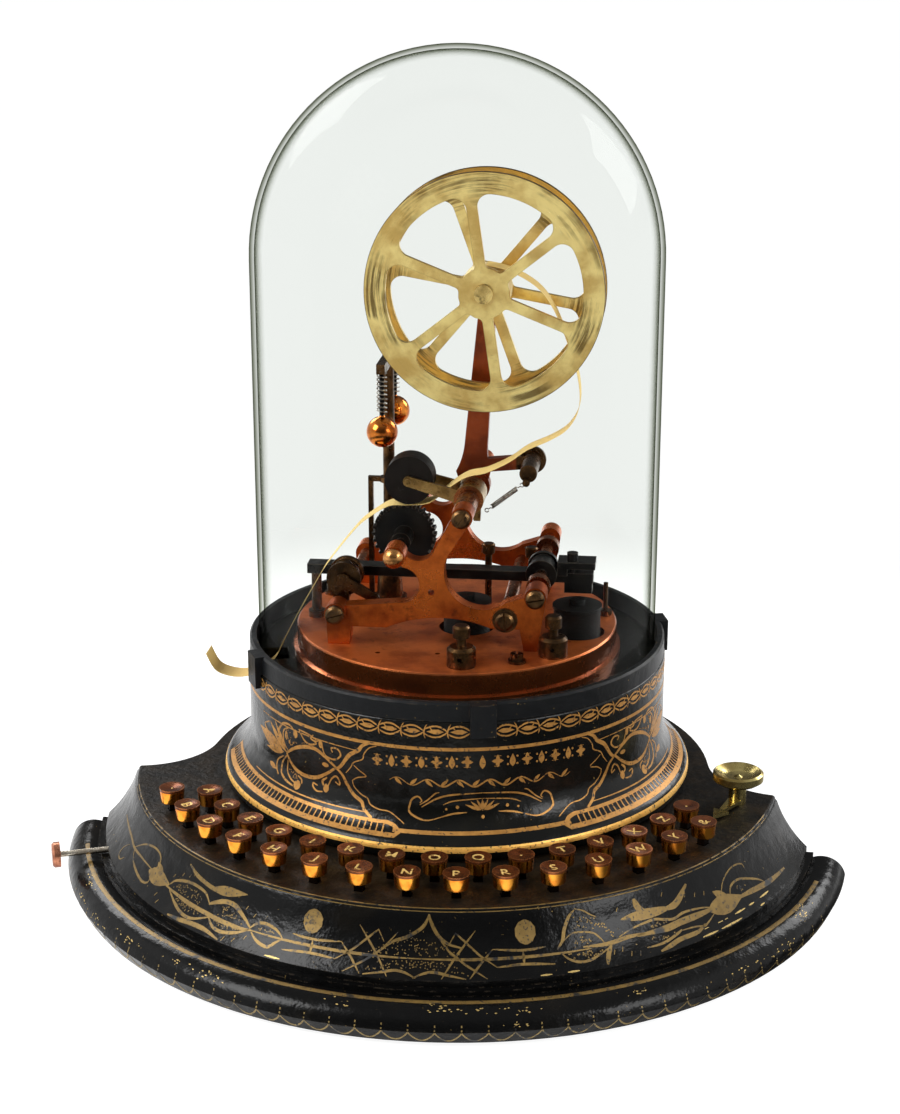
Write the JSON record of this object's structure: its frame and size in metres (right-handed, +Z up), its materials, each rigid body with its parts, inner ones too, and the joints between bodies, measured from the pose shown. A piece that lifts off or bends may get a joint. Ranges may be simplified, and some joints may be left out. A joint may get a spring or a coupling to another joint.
{
  "type": "stock ticker machine",
  "caption": "Domed tape printing telegraph receiver on a japanned round tower, with a curved two-row keyboard around its front.",
  "frame": {"origin": "on the tower's axis, on the plane that the feet stand on; the cable hole in the underside is on that axis", "axes": "+Z up along the tower and dome, keyboard towards -Y, +X to the right of someone at the keys"},
  "size_m": [0.4054, 0.3359, 0.421],
  "materials": {
    "black_japan": "gloss black japan over cast iron, gilt ornament",
    "board_wood": "dark stained board",
    "foot_rubber": "matt pads",
    "clear_glass": "clear blown glass",
    "copper_casting": "lacquered copper-red castings",
    "key_copper": "polished copper caps",
    "bronze": "dark bronze",
    "brass": "aged brass",
    "blackened_iron": "blackened iron",
    "ink_felt": "ink-soaked felt",
    "steel": "dull steel wire",
    "paper": "cream paper tape"
  },
  "bodies": {
    "machine": {"keyboard_base": "black_japan", "tower_drum": "black_japan", "dome_ring": "black_japan", "bottom_board": "board_wood", "base_feet": "foot_rubber", "bed_plate": "copper_casting", "front_frame": "copper_casting", "rear_frame": "copper_casting", "cross_rods": "copper_casting", "reel_post": "copper_casting", "governor_stand": "copper_casting", "frame_screws": "bronze", "binding_posts": "bronze", "feed_arm": "bronze", "magnets": "blackened_iron", "stop_pillar": "blackened_iron", "key_guide": "blackened_iron", "tension_spring": "steel", "paper_tape": "paper"},
    "dome": {"glass_dome": "clear_glass"},
    "reel": {"reel": "brass"},
    "type_wheel": {"type_wheel": "blackened_iron"},
    "ink_arm": {"ink_arm": "brass"},
    "ink_roller": {"ink_roller": "ink_felt"},
    "governor": {"governor_spindle": "bronze", "governor_balls": "copper_casting"},
    "armature": {"armature": "blackened_iron"},
    "feed_roller": {"feed_roller": "bronze"},
    "selector": {"selector_knob": "brass"},
    "pull_rod": {"pull_rod": "bronze"},
    "key_01": {"key_01": "key_copper"},
    "key_02": {"key_02": "key_copper"},
    "key_03": {"key_03": "key_copper"},
    "key_04": {"key_04": "key_copper"},
    "key_05": {"key_05": "key_copper"},
    "key_06": {"key_06": "key_copper"},
    "key_07": {"key_07": "key_copper"},
    "key_08": {"key_08": "key_copper"},
    "key_09": {"key_09": "key_copper"},
    "key_10": {"key_10": "key_copper"},
    "key_11": {"key_11": "key_copper"},
    "key_12": {"key_12": "key_copper"},
    "key_13": {"key_13": "key_copper"},
    "key_14": {"key_14": "key_copper"},
    "key_15": {"key_15": "key_copper"},
    "key_16": {"key_16": "key_copper"},
    "key_17": {"key_17": "key_copper"},
    "key_18": {"key_18": "key_copper"},
    "key_19": {"key_19": "key_copper"},
    "key_20": {"key_20": "key_copper"},
    "key_21": {"key_21": "key_copper"},
    "key_22": {"key_22": "key_copper"},
    "key_23": {"key_23": "key_copper"},
    "key_24": {"key_24": "key_copper"},
    "key_25": {"key_25": "key_copper"},
    "key_26": {"key_26": "key_copper"},
    "key_27": {"key_27": "key_copper"},
    "key_28": {"key_28": "key_copper"},
    "key_29": {"key_29": "key_copper"},
    "key_30": {"key_30": "key_copper"}
  },
  "joints": [
    {"name": "dome_lift", "type": "slide", "parent": "machine", "child": "dome", "axis": [0, 0, 1], "range_m": [0, 0.26]},
    {"name": "reel_spin", "type": "hinge", "parent": "machine", "child": "reel", "pos_m": [0.015, -0.0095, 0.305], "axis": [0, 1, 0], "continuous": true},
    {"name": "type_wheel_spin", "type": "hinge", "parent": "machine", "child": "type_wheel", "pos_m": [-0.0255, -0.0095, 0.18], "axis": [0, 1, 0], "continuous": true},
    {"name": "ink_arm_lift", "type": "hinge", "parent": "machine", "child": "ink_arm", "pos_m": [0.0077, -0.0095, 0.201], "axis": [0, 1, 0], "range_deg": [0, 20]},
    {"name": "ink_roller_spin", "type": "hinge", "parent": "ink_arm", "child": "ink_roller", "pos_m": [-0.0225, -0.0095, 0.2095], "axis": [0, 1, 0], "continuous": true},
    {"name": "governor_spin", "type": "hinge", "parent": "machine", "child": "governor", "pos_m": [-0.0385, 0.026, 0.2], "axis": [0, 0, 1], "continuous": true},
    {"name": "armature_rock", "type": "hinge", "parent": "machine", "child": "armature", "pos_m": [0.044, -0.005, 0.1615], "axis": [0, 1, 0], "range_deg": [0, 1.2]},
    {"name": "feed_roller_spin", "type": "hinge", "parent": "machine", "child": "feed_roller", "pos_m": [-0.0536, -0.025, 0.1616], "axis": [0, 1, 0], "continuous": true},
    {"name": "selector_turn", "type": "hinge", "parent": "machine", "child": "selector", "pos_m": [0.14601, -0.03304, 0.0513], "axis": [0, 0, 1], "range_deg": [-60, 60]},
    {"name": "pull_rod_slide", "type": "slide", "parent": "machine", "child": "pull_rod", "axis": [-0.9348, -0.3551, 0], "range_m": [0, 0.012]},
    {"name": "key_01_press", "type": "slide", "parent": "machine", "child": "key_01", "axis": [0, 0, -1], "range_m": [0, 0.0025], "stiffness_N_per_m": 300, "springref_m": -0.002},
    {"name": "key_02_press", "type": "slide", "parent": "machine", "child": "key_02", "axis": [0, 0, -1], "range_m": [0, 0.0025], "stiffness_N_per_m": 300, "springref_m": -0.002},
    {"name": "key_03_press", "type": "slide", "parent": "machine", "child": "key_03", "axis": [0, 0, -1], "range_m": [0, 0.0025], "stiffness_N_per_m": 300, "springref_m": -0.002},
    {"name": "key_04_press", "type": "slide", "parent": "machine", "child": "key_04", "axis": [0, 0, -1], "range_m": [0, 0.0025], "stiffness_N_per_m": 300, "springref_m": -0.002},
    {"name": "key_05_press", "type": "slide", "parent": "machine", "child": "key_05", "axis": [0, 0, -1], "range_m": [0, 0.0025], "stiffness_N_per_m": 300, "springref_m": -0.002},
    {"name": "key_06_press", "type": "slide", "parent": "machine", "child": "key_06", "axis": [0, 0, -1], "range_m": [0, 0.0025], "stiffness_N_per_m": 300, "springref_m": -0.002},
    {"name": "key_07_press", "type": "slide", "parent": "machine", "child": "key_07", "axis": [0, 0, -1], "range_m": [0, 0.0025], "stiffness_N_per_m": 300, "springref_m": -0.002},
    {"name": "key_08_press", "type": "slide", "parent": "machine", "child": "key_08", "axis": [0, 0, -1], "range_m": [0, 0.0025], "stiffness_N_per_m": 300, "springref_m": -0.002},
    {"name": "key_09_press", "type": "slide", "parent": "machine", "child": "key_09", "axis": [0, 0, -1], "range_m": [0, 0.0025], "stiffness_N_per_m": 300, "springref_m": -0.002},
    {"name": "key_10_press", "type": "slide", "parent": "machine", "child": "key_10", "axis": [0, 0, -1], "range_m": [0, 0.0025], "stiffness_N_per_m": 300, "springref_m": -0.002},
    {"name": "key_11_press", "type": "slide", "parent": "machine", "child": "key_11", "axis": [0, 0, -1], "range_m": [0, 0.0025], "stiffness_N_per_m": 300, "springref_m": -0.002},
    {"name": "key_12_press", "type": "slide", "parent": "machine", "child": "key_12", "axis": [0, 0, -1], "range_m": [0, 0.0025], "stiffness_N_per_m": 300, "springref_m": -0.002},
    {"name": "key_13_press", "type": "slide", "parent": "machine", "child": "key_13", "axis": [0, 0, -1], "range_m": [0, 0.0025], "stiffness_N_per_m": 300, "springref_m": -0.002},
    {"name": "key_14_press", "type": "slide", "parent": "machine", "child": "key_14", "axis": [0, 0, -1], "range_m": [0, 0.0025], "stiffness_N_per_m": 300, "springref_m": -0.002},
    {"name": "key_15_press", "type": "slide", "parent": "machine", "child": "key_15", "axis": [0, 0, -1], "range_m": [0, 0.0025], "stiffness_N_per_m": 300, "springref_m": -0.002},
    {"name": "key_16_press", "type": "slide", "parent": "machine", "child": "key_16", "axis": [0, 0, -1], "range_m": [0, 0.0025], "stiffness_N_per_m": 300, "springref_m": -0.002},
    {"name": "key_17_press", "type": "slide", "parent": "machine", "child": "key_17", "axis": [0, 0, -1], "range_m": [0, 0.0025], "stiffness_N_per_m": 300, "springref_m": -0.002},
    {"name": "key_18_press", "type": "slide", "parent": "machine", "child": "key_18", "axis": [0, 0, -1], "range_m": [0, 0.0025], "stiffness_N_per_m": 300, "springref_m": -0.002},
    {"name": "key_19_press", "type": "slide", "parent": "machine", "child": "key_19", "axis": [0, 0, -1], "range_m": [0, 0.0025], "stiffness_N_per_m": 300, "springref_m": -0.002},
    {"name": "key_20_press", "type": "slide", "parent": "machine", "child": "key_20", "axis": [0, 0, -1], "range_m": [0, 0.0025], "stiffness_N_per_m": 300, "springref_m": -0.002},
    {"name": "key_21_press", "type": "slide", "parent": "machine", "child": "key_21", "axis": [0, 0, -1], "range_m": [0, 0.0025], "stiffness_N_per_m": 300, "springref_m": -0.002},
    {"name": "key_22_press", "type": "slide", "parent": "machine", "child": "key_22", "axis": [0, 0, -1], "range_m": [0, 0.0025], "stiffness_N_per_m": 300, "springref_m": -0.002},
    {"name": "key_23_press", "type": "slide", "parent": "machine", "child": "key_23", "axis": [0, 0, -1], "range_m": [0, 0.0025], "stiffness_N_per_m": 300, "springref_m": -0.002},
    {"name": "key_24_press", "type": "slide", "parent": "machine", "child": "key_24", "axis": [0, 0, -1], "range_m": [0, 0.0025], "stiffness_N_per_m": 300, "springref_m": -0.002},
    {"name": "key_25_press", "type": "slide", "parent": "machine", "child": "key_25", "axis": [0, 0, -1], "range_m": [0, 0.0025], "stiffness_N_per_m": 300, "springref_m": -0.002},
    {"name": "key_26_press", "type": "slide", "parent": "machine", "child": "key_26", "axis": [0, 0, -1], "range_m": [0, 0.0025], "stiffness_N_per_m": 300, "springref_m": -0.002},
    {"name": "key_27_press", "type": "slide", "parent": "machine", "child": "key_27", "axis": [0, 0, -1], "range_m": [0, 0.0025], "stiffness_N_per_m": 300, "springref_m": -0.002},
    {"name": "key_28_press", "type": "slide", "parent": "machine", "child": "key_28", "axis": [0, 0, -1], "range_m": [0, 0.0025], "stiffness_N_per_m": 300, "springref_m": -0.002},
    {"name": "key_29_press", "type": "slide", "parent": "machine", "child": "key_29", "axis": [0, 0, -1], "range_m": [0, 0.0025], "stiffness_N_per_m": 300, "springref_m": -0.002},
    {"name": "key_30_press", "type": "slide", "parent": "machine", "child": "key_30", "axis": [0, 0, -1], "range_m": [0, 0.0025], "stiffness_N_per_m": 300, "springref_m": -0.002}
  ]
}
